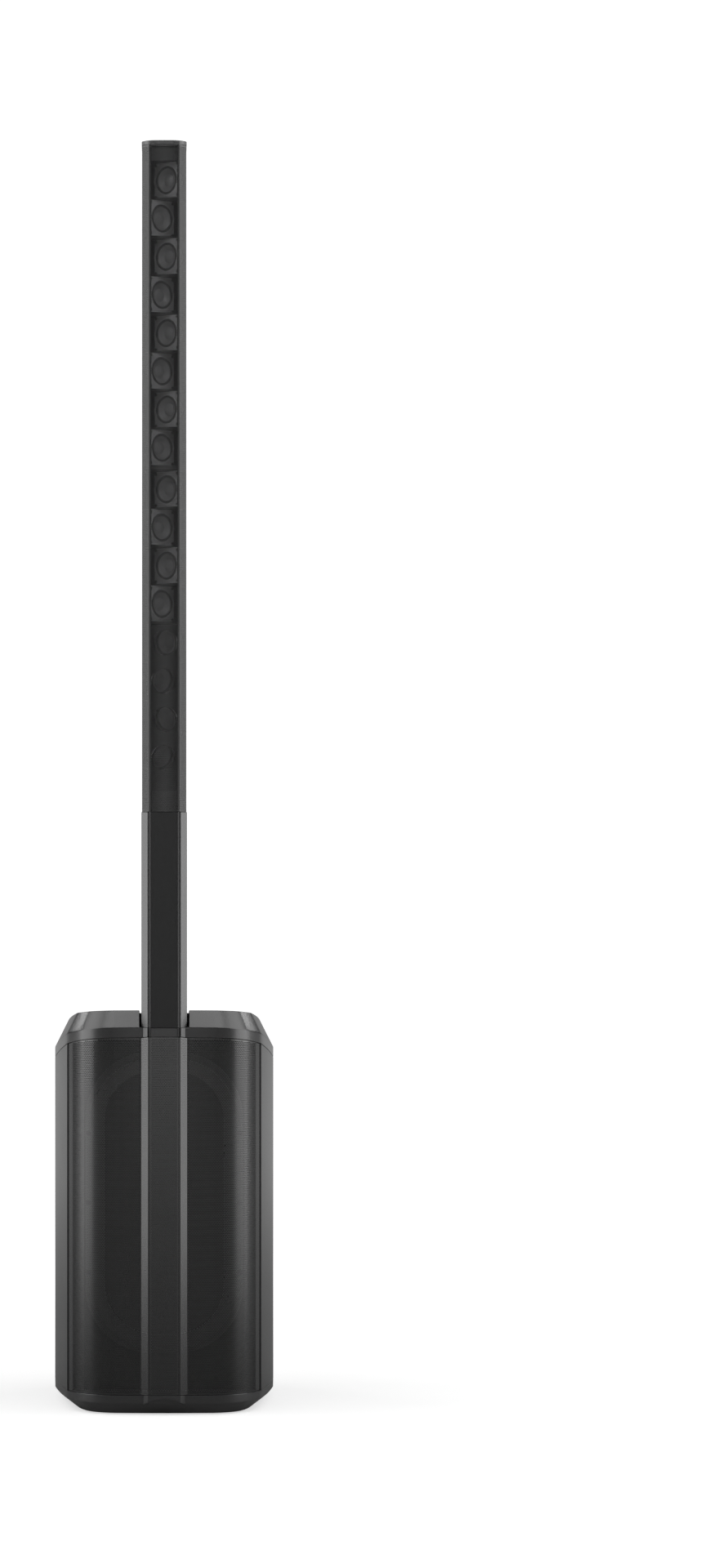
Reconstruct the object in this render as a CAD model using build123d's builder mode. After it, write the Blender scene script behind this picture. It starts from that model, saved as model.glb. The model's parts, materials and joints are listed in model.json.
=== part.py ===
"""Portable column loudspeaker: powered bass cabinet, spacer column and sixteen-driver line array.

Millimetres.  +Z is up, the front faces -Y, and the origin is at floor level under the middle of
the bounding box.  The column plugs into the cabinet and the array plugs into the column.
"""
from build123d import *
import os
from math import cos, hypot, radians, sin, sqrt

os.makedirs("parts", exist_ok=True)

# ---- overall size
HEIGHT = 2010
WIDTH = 355
DEPTH = 456
FRONT = -DEPTH / 2
REAR = DEPTH / 2

# ---- levels of the bass cabinet, each given at the front plane; slopes fall towards the rear
FOOT_HEIGHT = 6
TRAY_BOTTOM = 2
TRAY_WAIST = 18
TRAY_TOP = 31
SEAM_Z = 596.4
CREASE_Z = 612.4
TOP_Z = 640.1
COVER_SLOPE = 0.172
TOP_SLOPE = 0.10
SHELL_WALL = 5
COVER_WALL = 3.5
GRILLE_SHEET = 2
SEAM_GAP = 0.5

# ---- plan of the bass cabinet
FRONT_CROWN = -221
PLAN = [
    (80, -218),
    (108, -208.6),
    (131, -191),
    (143.9, -171.8),
    (154.5, -151),
    (168, -70),
    (WIDTH / 2, 13),
    (172.4, 100),
    (162, 165),
    (143.5, 206.5),
    (104, REAR),
]
CREASE_STOP = 4
CREASE_Y = PLAN[CREASE_STOP][1]

# ---- plan of the column; the array is a little narrower and its cheeks are deeper
COLUMN_HALF = 36
COLUMN_FACE = 26
COLUMN_CHEEK = 12
ARRAY_HALF = 35
ARRAY_FACE = 24
ARRAY_CHEEK = 16
COLUMN_REAR = -136
COLUMN_CORNER = 12
STRIP_RISE = 8.4
SEAT_PROUD = 1.2
NOTCH_GAP = 2.6

# ---- levels of the column and the array
SEAT_Z = 611
JOINT_Z = 951
CAP_Z = 2003
TENON_HALF = 27
TENON_FRONT = -204
TENON_REAR = -150
BASE_TENON = 32
ARRAY_TENON = 70
FIT = 0.4

# ---- woofer
WOOFER_Z = 333
BAFFLE_FACE = -184
BAFFLE_THICK = 12
FRAME_W = 250
FRAME_H = 477
ROLL_W = 20
COIL_R = 38
NECK_Y = -130

# ---- rear panel; as seen from behind, +X is on the left
PANEL_HALF = 104
PANEL_LOW = 92
PANEL_HIGH = 428
PANEL_FACE = 207
PANEL_THICK = 3
CHANNEL_Z = (388, 322, 256)
JACK_X = 72
KNOB_X = 14
MODE_X = -34
MUTE_X = -68
SWITCH_Z = 196
POWER_Z = 138

# ---- line array drivers
DRIVER_COUNT = 16
DRIVER_PITCH = 60.44
UPPER_FIRST_Z = 1950.7
LOWER_FIRST_Z = 1462
DRIVER_YAW = 43
DRIVER_OFFSET = 4
DRIVER_Y = -199
DRIVER_TILTS = (5, 10, 15, 20)
DRIVER_W = 52
DRIVER_H = 56
CONE_R = 18


# ---- feet, handle well and socket
FOOT_R = 15
FOOT_SPAN_X = 190
FOOT_SPAN_Y = 250
SOCKET_HALF = 31
SOCKET_BOTTOM = 574
WELL_FRONT = 128
WELL_REAR = 180
WELL_FLOOR = 542
GRIP_HALF = 58
GRIP_Z = 584
GRIP_R = 9

# ---- controls
KNOB_R = 12
BUTTON_R = 4.5
STANDBY_R = 8
STANDBY_X = 8
LINE_X = 84
AUX_X = 58
INLET_X = -56
SWITCH_X = {"phantom": 72, "pairing": 14, "voicing": -34}

# ---- column grooves, array walls, carrier and brackets
GROOVE_OUT = 26
GROOVE_IN = 24
FIN_IN = 21.2
STRIP_RECESS = 3.5
ARRAY_WALL = 2.5
GRILLE_LAP = 3
FLOOR_T = 3
SCREW_X = 22.4
SCREW_Y = 24.4
MASK_Y = -221
MASK_LOW = 984
MASK_HIGH = 1246
BRACKET_Y = -221
BRACKET_HALF = 22
FOOT_PLATE_HALF = 19.5
CAP_PROUD = 0.5
CAP_SHADOW = 1.2


def save(piece, label):
    """Label one finished piece and write it out."""
    piece.part.label = label
    export_step(piece.part, "parts/" + label + ".step")


# ======================================================================= bass cabinet
def no_inset(y):
    return 0.0


def inset_stops(inset):
    """The right half of the plan, moved square to itself into the cabinet by inset(y)."""
    ring = [(0, FRONT_CROWN)] + PLAN + [(0, REAR)]
    stops = []
    for before, here, after in zip(ring, ring[1:], ring[2:]):
        run_x = after[0] - before[0]
        run_y = after[1] - before[1]
        length = hypot(run_x, run_y)
        amount = inset(here[1])
        stops.append((here[0] - amount * run_y / length, here[1] + amount * run_x / length))
    rear_y = REAR - inset(REAR)
    stops[-1] = (stops[-1][0], rear_y)
    return stops


def cabinet_section(z_front, slope=0.0, inset=no_inset):
    """The closed plan outline on a plane that falls towards the rear by slope."""
    stretch = sqrt(1 + slope ** 2)
    plane = Plane(origin=(0, FRONT, z_front), x_dir=(1, 0, 0), z_dir=(0, slope, 1))

    def on_plane(x, y):
        return (x, (y - FRONT) * stretch)

    right = inset_stops(inset)
    with BuildSketch(plane) as section:
        with BuildLine():
            for side in (1, -1):
                for i in range(0, len(right) - 1, 2):
                    arc = [on_plane(side * x, y) for x, y in right[i:i + 3]]
                    ThreePointArc(*arc)
            Line(on_plane(*right[-1]), on_plane(-right[-1][0], right[-1][1]))
            crown = on_plane(0, FRONT_CROWN + inset(FRONT))
            ThreePointArc(on_plane(-right[0][0], right[0][1]), crown, on_plane(*right[0]))
        make_face()
    return section.sketch


def column_section(z, half, face, cheek, grow=0.0, rear=COLUMN_REAR, corner=COLUMN_CORNER):
    """Plan of the column: flat front face, two splayed cheeks, straight sides, rounded rear."""
    left = -half - grow
    right = half + grow
    front = FRONT - grow
    back = rear + grow
    with BuildSketch(Plane.XY.offset(z)) as section:
        with BuildLine():
            Polyline((left, back - corner), (left, FRONT + cheek), (-face, front),
                     (face, front), (right, FRONT + cheek), (right, back - corner))
            RadiusArc((right, back - corner), (right - corner, back), -corner)
            Line((right - corner, back), (left + corner, back))
            RadiusArc((left + corner, back), (left, back - corner), -corner)
        make_face()
    return section.sketch


def top_inset(y):
    """The sloping rim of the cover leans in by half its height, which grows to the rear."""
    rise = TOP_Z - CREASE_Z + (COVER_SLOPE - TOP_SLOPE) * (y - FRONT)
    return 0.5 * rise


def below_seam(drop):
    """Everything above the seam plane, lowered by drop: used to trim what stands under it."""
    plane = Plane(origin=(0, FRONT, SEAM_Z - drop), x_dir=(1, 0, 0), z_dir=(0, COVER_SLOPE, 1))
    with BuildPart() as trim:
        with BuildSketch(plane):
            with Locations((0, DEPTH / 2)):
                Rectangle(2 * WIDTH, 2 * DEPTH)
        extrude(amount=300)
    return trim.part


def make_tray():
    """Foot of the cabinet: an upright band over a band that slopes in, with an arched scoop."""
    def foot_inset(y):
        return 8 + 13 * min(1, max(0, (y + 215) / 60))

    outer = [cabinet_section(TRAY_BOTTOM, inset=foot_inset),
             cabinet_section(TRAY_WAIST, inset=lambda y: 0.4),
             cabinet_section(TRAY_TOP)]
    hollow = [cabinet_section(TRAY_BOTTOM + 6, inset=lambda y: foot_inset(y) + 6),
              cabinet_section(TRAY_TOP, inset=lambda y: 9)]
    boss_height = 21
    strip = column_section(TRAY_TOP - boss_height, COLUMN_HALF, COLUMN_FACE, COLUMN_CHEEK,
                           rear=-190)
    arch_spring = 14
    arch_rise = 11.6
    arch_radius = (COLUMN_HALF ** 2 + arch_rise ** 2) / (2 * arch_rise)
    arch_z = arch_spring + arch_rise - arch_radius
    with BuildPart() as tray:
        extrude(strip, amount=boss_height)
        with Locations(Location((0, FRONT, arch_z), (90, 0, 0))):
            Cylinder(arch_radius, 40, mode=Mode.SUBTRACT)
        loft(outer, ruled=True)
        loft(hollow, ruled=True, mode=Mode.SUBTRACT)
        with Locations((0, 0, TRAY_BOTTOM)):
            with GridLocations(FOOT_SPAN_X, FOOT_SPAN_Y, 2, 2):
                Cylinder(FOOT_R + 3, TRAY_TOP - TRAY_BOTTOM,
                         align=(Align.CENTER, Align.CENTER, Align.MIN))
        with Locations((0, 0, TRAY_BOTTOM)):
            with GridLocations(FOOT_SPAN_X, FOOT_SPAN_Y, 2, 2):
                Cylinder(FOOT_R, FOOT_HEIGHT - TRAY_BOTTOM, mode=Mode.SUBTRACT,
                         align=(Align.CENTER, Align.CENTER, Align.MIN))
    save(tray, "base_tray")


def make_feet():
    with BuildPart() as feet:
        with GridLocations(FOOT_SPAN_X, FOOT_SPAN_Y, 2, 2):
            Cylinder(FOOT_R, FOOT_HEIGHT, align=(Align.CENTER, Align.CENTER, Align.MIN))
    save(feet, "rubber_feet")


def make_shell():
    """Sides, back and floor in one moulding; a recess in the back takes the panel."""
    outer = [cabinet_section(TRAY_TOP), cabinet_section(SEAM_Z - SEAM_GAP, COVER_SLOPE)]
    inner = [cabinet_section(TRAY_TOP + SHELL_WALL, inset=lambda y: SHELL_WALL),
             cabinet_section(SEAM_Z, COVER_SLOPE, inset=lambda y: SHELL_WALL)]
    tunnel_depth = REAR - PANEL_FACE + PANEL_THICK + 4
    tunnel_y = REAR - tunnel_depth / 2 - 1
    mid_z = (PANEL_LOW + PANEL_HIGH) / 2
    high = PANEL_HIGH - PANEL_LOW
    front_cut = CREASE_Y - FRONT + 20
    with BuildPart() as shell:
        loft(outer, ruled=True)
        loft(inner, ruled=True, mode=Mode.SUBTRACT)
        with Locations((0, CREASE_Y - front_cut / 2, TRAY_TOP + 500)):
            Box(WIDTH + 20, front_cut, 1000, mode=Mode.SUBTRACT)
        with Locations((0, tunnel_y, mid_z)):
            Box(2 * PANEL_HALF + 8, tunnel_depth, high + 8)
        with Locations((0, tunnel_y, mid_z)):
            Box(2 * PANEL_HALF - 12, tunnel_depth + 10, high - 12, mode=Mode.SUBTRACT)
        with Locations((0, PANEL_FACE - PANEL_THICK + 20, mid_z)):
            Box(2 * PANEL_HALF, 40, high, mode=Mode.SUBTRACT)
    save(shell, "enclosure_shell")


def baffle_plan(z, thick):
    """The shallow splayed plan of the front wall, from side panel to side panel."""
    crease_x = PLAN[CREASE_STOP][0] - 3.4
    turn_x = 138.4
    turn_y = -171
    flat = 127
    with BuildSketch(Plane.XY.offset(z)) as plan:
        with BuildLine():
            Polyline((-crease_x, CREASE_Y), (-turn_x, turn_y), (-flat, BAFFLE_FACE),
                     (flat, BAFFLE_FACE), (turn_x, turn_y), (crease_x, CREASE_Y),
                     (crease_x - thick, CREASE_Y),
                     (flat - 0.5 * thick, BAFFLE_FACE + BAFFLE_THICK),
                     (0.5 * thick - flat, BAFFLE_FACE + BAFFLE_THICK),
                     (thick - crease_x, CREASE_Y), close=True)
        make_face()
    return plan.sketch


def racetrack(y, width, height):
    """The woofer's outline, square to Y: straight sides and broad rounded ends."""
    plane = Plane(origin=(0, y, WOOFER_Z), x_dir=(1, 0, 0), z_dir=(0, -1, 0))
    with BuildSketch(plane) as outline:
        RectangleRounded(width, height, 0.42 * width)
    return outline.sketch


def make_baffle():
    plan = baffle_plan(TRAY_TOP, 8)
    floor = cabinet_section(TRAY_TOP, inset=lambda y: 4)
    socket_room = 2 * TENON_HALF + 12
    with BuildPart() as baffle:
        extrude(plan, amount=SEAM_Z - TRAY_TOP)
        extrude(floor, amount=SHELL_WALL)
        with Locations((0, CREASE_Y + 400, TRAY_TOP)):
            Box(2 * WIDTH, 800, 60, mode=Mode.SUBTRACT)
        add(below_seam(1), mode=Mode.SUBTRACT)
        add(screw_shanks(), mode=Mode.SUBTRACT)
        extrude(racetrack(0, FRAME_W - 14, FRAME_H - 14), amount=300, mode=Mode.SUBTRACT)
        with Locations((0, BAFFLE_FACE, SEAT_Z)):
            Box(socket_room, 60, 2 * (SEAT_Z - SOCKET_BOTTOM + 1), mode=Mode.SUBTRACT)
    save(baffle, "front_baffle")


def cut_front_grooves(z, tall):
    """The column's line in the part being built: two grooves, and a sunk face between fins."""
    for side in (1, -1):
        with Locations((side * (GROOVE_OUT + GROOVE_IN) / 2, FRONT, z + tall / 2)):
            Box(GROOVE_OUT - GROOVE_IN, 10, tall, mode=Mode.SUBTRACT)
    with Locations((0, FRONT, z + tall / 2)):
        Box(2 * FIN_IN, 2 * STRIP_RECESS, tall, mode=Mode.SUBTRACT)


def make_cover():
    """Sloping cover: upright band, leaning rim and flat top, notched for the column."""
    wall = COVER_WALL
    outer = [cabinet_section(SEAM_Z, COVER_SLOPE), cabinet_section(CREASE_Z, COVER_SLOPE),
             cabinet_section(TOP_Z, TOP_SLOPE, top_inset)]
    inner = [cabinet_section(SEAM_Z - 1, COVER_SLOPE, lambda y: wall),
             cabinet_section(CREASE_Z - 1, COVER_SLOPE, lambda y: wall),
             cabinet_section(TOP_Z - wall, TOP_SLOPE, lambda y: top_inset(y) + wall)]
    boss_bottom = SEAM_Z - 40
    boss = column_section(boss_bottom, COLUMN_HALF + SEAT_PROUD, COLUMN_FACE, COLUMN_CHEEK)
    notch_half = COLUMN_HALF + NOTCH_GAP
    notch = column_section(SEAT_Z, notch_half, notch_half - 1, 1, grow=0.6)
    notch_wall = column_section(SEAT_Z - 3, notch_half, notch_half - 1, 1, grow=4)
    well_x = 2 * (GRIP_HALF + 2)
    with BuildPart() as hollow:
        loft(inner, ruled=True)
        with Locations((0, (WELL_FRONT + REAR) / 2, WELL_FLOOR + 100 - COVER_WALL)):
            Box(well_x + 2 * wall, REAR - WELL_FRONT + 2 * wall, 200, mode=Mode.SUBTRACT)
        extrude(notch_wall, amount=60, mode=Mode.SUBTRACT)
        extrude(boss, amount=SEAT_Z - boss_bottom, mode=Mode.SUBTRACT)
    with BuildPart() as front_boss:
        extrude(boss, amount=SEAT_Z - boss_bottom)
        add(below_seam(0), mode=Mode.INTERSECT)
        cut_front_grooves(boss_bottom, 2 * (SEAT_Z - boss_bottom))
    with BuildPart() as cover:
        loft(outer, ruled=True)
        add(front_boss.part)
        add(hollow.part, mode=Mode.SUBTRACT)
        extrude(notch, amount=80, mode=Mode.SUBTRACT)
        with Locations((0, (TENON_FRONT + TENON_REAR) / 2, SEAT_Z)):
            Box(2 * SOCKET_HALF, TENON_REAR - TENON_FRONT + 8, 120, mode=Mode.SUBTRACT)
        with Locations((0, (WELL_FRONT + WELL_REAR) / 2, WELL_FLOOR + 100)):
            Box(well_x, WELL_REAR - WELL_FRONT, 200, mode=Mode.SUBTRACT)
        with Locations((0, WELL_REAR, (WELL_FLOOR + GRIP_Z - GRIP_R - 3) / 2)):
            Box(well_x, 200, GRIP_Z - GRIP_R - 3 - WELL_FLOOR, mode=Mode.SUBTRACT)
    save(cover, "top_cover")


def make_grip():
    """Soft sleeve of the carrying handle, on the bar behind the hand well."""
    with BuildPart() as grip:
        with BuildSketch(Plane.YZ.offset(-GRIP_HALF)):
            with Locations((WELL_REAR - 5, GRIP_Z)):
                RectangleRounded(10, 2 * GRIP_R, 4.5)
        extrude(amount=2 * GRIP_HALF)
    save(grip, "handle_grip")


def make_socket():
    """Square well that takes the foot of the column."""
    deep = SEAT_Z - SOCKET_BOTTOM
    mid_y = (TENON_FRONT + TENON_REAR) / 2
    span = TENON_REAR - TENON_FRONT
    with BuildPart() as socket:
        with Locations((0, mid_y, SEAT_Z - deep / 2)):
            Box(2 * SOCKET_HALF - 0.4, span + 7.6, deep)
        with Locations((0, mid_y, SEAT_Z - (BASE_TENON + 1) / 2)):
            Box(2 * (TENON_HALF + FIT), span + 2 * FIT, BASE_TENON + 1, mode=Mode.SUBTRACT)
    save(socket, "column_socket")


def make_grille():
    """Bent sheet over the whole front, with the strip that carries the column's line down."""
    edge = TRAY_TOP + 1
    outer = [cabinet_section(edge), cabinet_section(SEAM_Z - SEAM_GAP, COVER_SLOPE)]
    inner = [cabinet_section(edge, inset=lambda y: GRILLE_SHEET),
             cabinet_section(SEAM_Z - SEAM_GAP, COVER_SLOPE, lambda y: GRILLE_SHEET)]
    with BuildSketch(Plane.XY.offset(edge)) as strip:
        with BuildLine():
            foot_y = FRONT + COLUMN_CHEEK
            bend_y = FRONT + STRIP_RISE
            Polyline((-COLUMN_HALF, foot_y), (-COLUMN_HALF, bend_y), (-COLUMN_FACE, FRONT),
                     (COLUMN_FACE, FRONT), (COLUMN_HALF, bend_y), (COLUMN_HALF, foot_y),
                     close=True)
        make_face()
        with BuildLine():
            room = GRILLE_SHEET
            inner_y = bend_y + 0.8
            Polyline((room - COLUMN_HALF, foot_y + 5), (room - COLUMN_HALF, inner_y),
                     (1.2 - COLUMN_FACE, FRONT + room), (COLUMN_FACE - 1.2, FRONT + room),
                     (COLUMN_HALF - room, inner_y), (COLUMN_HALF - room, foot_y + 5),
                     close=True)
        make_face(mode=Mode.SUBTRACT)
    with BuildPart() as grille:
        loft(outer, ruled=True)
        loft(inner, ruled=True, mode=Mode.SUBTRACT)
        with Locations((0, CREASE_Y + 400 - 0.6, TRAY_TOP + 400)):
            Box(2 * WIDTH, 800, 1000, mode=Mode.SUBTRACT)
        with Locations((0, FRONT, TRAY_TOP + 400)):
            Box(2 * COLUMN_HALF - 2 * GRILLE_SHEET, 60, 1000, mode=Mode.SUBTRACT)
        extrude(strip.sketch, amount=SEAM_Z - edge)
        add(below_seam(SEAM_GAP), mode=Mode.SUBTRACT)
    save(grille, "base_grille")


# ----------------------------------------------------------------------- woofer
def woofer_screw_spots():
    across = FRAME_W / 2 - 5
    up = FRAME_H / 2 - 6
    right = [(across, 0), (across, 110), (across, -110), (34, up), (34, -up)]
    return [(side * x, WOOFER_Z + z) for x, z in right for side in (1, -1)]


def screw_shanks():
    """The screws' shanks, also cut out of the flange and the baffle behind their heads."""
    with BuildPart() as shanks:
        for x, z in woofer_screw_spots():
            with Locations(Location((x, BAFFLE_FACE - 4, z), (90, 0, 0))):
                Cylinder(2.2, 13, align=(Align.CENTER, Align.CENTER, Align.MAX))
    return shanks.part


def make_basket():
    """Racetrack frame: a flange, a tapering wall with windows, and a back plate."""
    back_y = -112
    wall = 3
    rim = [racetrack(BAFFLE_FACE, FRAME_W - 18, FRAME_H - 18), racetrack(back_y, 150, 230)]
    room = [racetrack(BAFFLE_FACE, FRAME_W - 18 - 2 * wall, FRAME_H - 18 - 2 * wall),
            racetrack(back_y, 150 - 2 * wall, 230 - 2 * wall)]
    with BuildPart() as basket:
        extrude(racetrack(BAFFLE_FACE, FRAME_W, FRAME_H), amount=4)
        loft(rim, ruled=True)
        extrude(racetrack(BAFFLE_FACE, FRAME_W - 30, FRAME_H - 30), amount=10,
                mode=Mode.SUBTRACT)
        loft(room, ruled=True, mode=Mode.SUBTRACT)
        extrude(racetrack(back_y, 150, 230), amount=-5)
        with Locations(Location((0, back_y, WOOFER_Z), (90, 0, 0))):
            Cylinder(COIL_R + 6, 30, mode=Mode.SUBTRACT)
        for z_step in (-70, 0, 70):
            with Locations((0, -142, WOOFER_Z + z_step)):
                Box(400, 36, 48, mode=Mode.SUBTRACT)
        for x_step in (-36, 36):
            with Locations((x_step, -142, WOOFER_Z)):
                Box(44, 36, 600, mode=Mode.SUBTRACT)
        add(screw_shanks(), mode=Mode.SUBTRACT)
    save(basket, "woofer_basket")


def make_magnet():
    """Ring magnet between a top plate and a back plate with the pole piece."""
    front_y = -106.5
    plane = Plane(origin=(0, front_y, WOOFER_Z), x_dir=(1, 0, 0), z_dir=(0, 1, 0))
    with BuildPart() as magnet:
        with BuildSketch(plane):
            Circle(72)
            Circle(COIL_R + 4, mode=Mode.SUBTRACT)
        extrude(amount=10)
        with BuildSketch(plane.offset(10)):
            Circle(88)
            Circle(COIL_R + 8, mode=Mode.SUBTRACT)
        extrude(amount=24)
        with BuildSketch(plane.offset(34)):
            Circle(80)
        extrude(amount=10)
        with BuildSketch(plane):
            Circle(COIL_R - 2)
        extrude(amount=40)
    save(magnet, "woofer_magnet")


def make_woofer_cone():
    """Paper cone from the racetrack edge to the coil, closed by a domed dust cap."""
    thick = 1.6
    front_w = FRAME_W - 30 - 2 * ROLL_W + 10
    front_h = FRAME_H - 30 - 2 * ROLL_W + 10
    neck = Plane(origin=(0, NECK_Y, WOOFER_Z), x_dir=(1, 0, 0), z_dir=(0, -1, 0))
    with BuildSketch(neck) as outer_neck:
        RectangleRounded(2 * COIL_R + 8, 2 * COIL_R + 8, 0.94 * COIL_R)
    with BuildSketch(neck) as inner_neck:
        RectangleRounded(2 * COIL_R + 8 - 2 * thick, 2 * COIL_R + 8 - 2 * thick, 0.9 * COIL_R)
    cap_rise = 12
    cap_rim = COIL_R + 3.4
    cap_r = (cap_rim ** 2 + cap_rise ** 2) / (2 * cap_rise)
    with BuildPart() as cap:
        with Locations((0, NECK_Y - cap_rise + cap_r, WOOFER_Z)):
            Sphere(cap_r)
            Sphere(cap_r - thick, mode=Mode.SUBTRACT)
        with Locations((0, NECK_Y + 1 + 400, WOOFER_Z)):
            Box(800, 800, 800, mode=Mode.SUBTRACT)
        with Locations(Location((0, NECK_Y, WOOFER_Z), (90, 0, 0))):
            Cylinder(COIL_R + 4.6, 2)
    with BuildPart() as cone:
        loft([racetrack(BAFFLE_FACE, front_w, front_h), outer_neck.sketch], ruled=True)
        loft([racetrack(BAFFLE_FACE, front_w - 2 * thick, front_h - 2 * thick),
              inner_neck.sketch], ruled=True, mode=Mode.SUBTRACT)
        add(cap.part)
    save(cone, "woofer_cone")


def ring_along_y(y_from, y_to, outer, inner, z=WOOFER_Z):
    """A flat ring about the woofer's axis."""
    plane = Plane(origin=(0, y_from, z), x_dir=(1, 0, 0), z_dir=(0, -1, 0))
    with BuildPart() as ring:
        with BuildSketch(plane):
            Circle(outer)
            Circle(inner, mode=Mode.SUBTRACT)
        extrude(amount=y_from - y_to)
    return ring


def make_woofer_rings():
    coil = ring_along_y(-84, NECK_Y + 1, COIL_R + 1.6, COIL_R)
    save(coil, "woofer_voice_coil")
    spider = ring_along_y(-113.5, -116.5, COIL_R + 34, COIL_R + 2)
    save(spider, "woofer_spider")
    outer_w = FRAME_W - 22
    outer_h = FRAME_H - 22
    inner_w = FRAME_W - 30 - 2 * ROLL_W + 9
    inner_h = FRAME_H - 30 - 2 * ROLL_W + 9
    with BuildPart() as surround:
        extrude(racetrack(BAFFLE_FACE - 4, outer_w, outer_h), amount=8)
        extrude(racetrack(BAFFLE_FACE - 3, inner_w, inner_h), amount=12, mode=Mode.SUBTRACT)
    save(surround, "woofer_surround")


def make_woofer_screws():
    with BuildPart() as screws:
        for x, z in woofer_screw_spots():
            with Locations(Location((x, BAFFLE_FACE - 5.2, z), (90, 0, 0))):
                Cylinder(4.5, 2.4)
        add(screw_shanks())
    save(screws, "woofer_screws")


# ----------------------------------------------------------------------- rear panel
def facing_back(x, y, z):
    """A sketch plane on the rear panel, extruding outwards."""
    return Plane(origin=(x, y, z), x_dir=(-1, 0, 0), z_dir=(0, 1, 0))


def panel_holes():
    """Every hole through the panel as (x, z, radius)."""
    holes = [(KNOB_X, z, 4) for z in CHANNEL_Z]
    holes += [(MODE_X, z, BUTTON_R + 0.4) for z in CHANNEL_Z]
    holes += [(MUTE_X, z, BUTTON_R + 0.4) for z in CHANNEL_Z]
    holes += [(x, SWITCH_Z, BUTTON_R + 0.4) for x in SWITCH_X.values()]
    holes += [(JACK_X, z, 12.4) for z in CHANNEL_Z[:2]]
    holes += [(LINE_X, CHANNEL_Z[2], 6.4), (AUX_X, CHANNEL_Z[2], 4.4)]
    holes += [(JACK_X, POWER_Z, 12.4), (STANDBY_X, POWER_Z, STANDBY_R + 0.4)]
    return holes


def make_panel():
    mid_z = (PANEL_LOW + PANEL_HIGH) / 2
    with BuildPart() as panel:
        with Locations((0, PANEL_FACE - PANEL_THICK / 2, mid_z)):
            Box(2 * PANEL_HALF - 0.6, PANEL_THICK, PANEL_HIGH - PANEL_LOW - 0.6)
        for x, z, radius in panel_holes():
            with Locations(Location((x, PANEL_FACE, z), (90, 0, 0))):
                Cylinder(radius, 20, mode=Mode.SUBTRACT)
        with Locations((INLET_X, PANEL_FACE, POWER_Z)):
            Box(28.4, 20, 24.4, mode=Mode.SUBTRACT)
    save(panel, "rear_panel")
    with BuildPart() as screws:
        for x in (-PANEL_HALF + 7, PANEL_HALF - 7):
            for z in (PANEL_LOW + 7, mid_z, PANEL_HIGH - 7):
                with Locations(Location((x, PANEL_FACE + 1, z), (90, 0, 0))):
                    Cylinder(3.6, 2)
    save(screws, "panel_screws")


def jack_flange(x, z, width, high):
    with BuildSketch(facing_back(x, PANEL_FACE, z)) as flange:
        RectangleRounded(width, high, 2.5)
    return flange.sketch


def make_combo_jack(z, label):
    """Input that takes a three-pin plug or a 6.35 mm plug in its middle."""
    with BuildPart() as jack:
        extrude(jack_flange(JACK_X, z, 26, 31), amount=2)
        with BuildSketch(facing_back(JACK_X, PANEL_FACE - 26, z)):
            Circle(12)
        extrude(amount=26)
        with BuildSketch(facing_back(JACK_X, PANEL_FACE - 14, z)):
            Circle(9.5)
            with PolarLocations(6.6, 3, start_angle=90):
                Circle(1.7, mode=Mode.SUBTRACT)
        extrude(amount=30, mode=Mode.SUBTRACT)
        with BuildSketch(facing_back(JACK_X, PANEL_FACE - 24, z)):
            Circle(6.4 / 2)
        extrude(amount=40, mode=Mode.SUBTRACT)
    save(jack, label)


def make_round_jack(x, bore, barrel, nut, deep, label):
    """Panel jack with a threaded barrel and a ring nut."""
    z = CHANNEL_Z[2]
    with BuildPart() as jack:
        with BuildSketch(facing_back(x, PANEL_FACE - deep, z)):
            Circle(barrel)
        extrude(amount=deep + 1)
        with BuildSketch(facing_back(x, PANEL_FACE, z)):
            Circle(nut)
        extrude(amount=2)
        with BuildSketch(facing_back(x, PANEL_FACE - deep + 2, z)):
            Circle(bore / 2)
        extrude(amount=deep + 10, mode=Mode.SUBTRACT)
    save(jack, label)


def make_line_output():
    """Three-pin output with its pins in a round cup."""
    with BuildPart() as jack:
        extrude(jack_flange(JACK_X, POWER_Z, 26, 31), amount=2)
        with BuildSketch(facing_back(JACK_X, PANEL_FACE - 20, POWER_Z)):
            Circle(12)
        extrude(amount=20)
        with BuildSketch(facing_back(JACK_X, PANEL_FACE - 14, POWER_Z)):
            Circle(9.5)
        extrude(amount=40, mode=Mode.SUBTRACT)
        with BuildSketch(facing_back(JACK_X, PANEL_FACE - 15, POWER_Z)):
            with PolarLocations(4.6, 3, start_angle=90):
                Circle(1.2)
        extrude(amount=12)
    save(jack, "line_output")


def make_mains_inlet():
    """Recessed three-pin mains inlet."""
    with BuildPart() as inlet:
        extrude(jack_flange(INLET_X, POWER_Z, 50, 30), amount=2)
        with Locations((INLET_X, PANEL_FACE - 11, POWER_Z)):
            Box(28, 22, 24)
        with Locations((INLET_X, PANEL_FACE - 8, POWER_Z)):
            Box(24.5, 24, 17, mode=Mode.SUBTRACT)
        for x, z in ((-7, -2), (0, 2.5), (7, -2)):
            with Locations((INLET_X + x, PANEL_FACE - 12.5, POWER_Z + z)):
                Box(2, 15.5, 4)
    save(inlet, "mains_inlet")


def make_led_rings():
    with BuildPart() as rings:
        for z in CHANNEL_Z:
            with BuildSketch(facing_back(KNOB_X, PANEL_FACE, z)):
                Circle(KNOB_R + 5)
                Circle(KNOB_R + 2, mode=Mode.SUBTRACT)
        extrude(amount=0.8)
    save(rings, "led_rings")


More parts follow.
